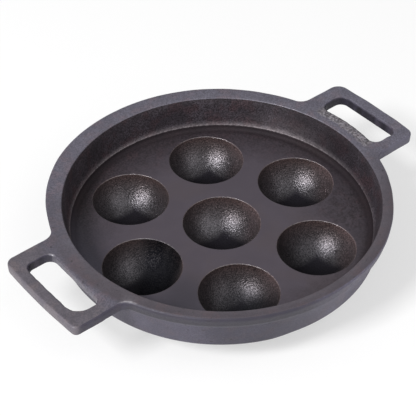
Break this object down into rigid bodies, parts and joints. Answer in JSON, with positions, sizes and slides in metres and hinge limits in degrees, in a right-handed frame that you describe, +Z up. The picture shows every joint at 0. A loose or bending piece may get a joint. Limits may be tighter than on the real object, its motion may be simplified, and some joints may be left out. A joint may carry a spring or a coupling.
{
  "type": "paniyaram pan",
  "caption": "Round cast-iron pan with dimpled round cups in its floor, a low sloping wall, a flat rim and two flat loop handles, for frying balls of batter.",
  "frame": {"origin": "on the surface that the pan stands on, under the middle of the rim", "axes": "+X along the two handles, +Y across the pan, +Z up out of the cups"},
  "size_m": [0.281, 0.22, 0.0497],
  "materials": {
    "cast_iron": "seasoned grey-black cast iron: sand-cast grain in the cups and on the walls, turned floor and ground rim smoother and a little paler"
  },
  "bodies": {
    "root": {"floor_plate": "cast_iron", "side_wall": "cast_iron", "handle_right": "cast_iron", "handle_left": "cast_iron", "cup_centre": "cast_iron", "cup_1": "cast_iron", "cup_2": "cast_iron", "cup_3": "cast_iron", "cup_4": "cast_iron", "cup_5": "cast_iron", "cup_6": "cast_iron"}
  },
  "joints": []
}
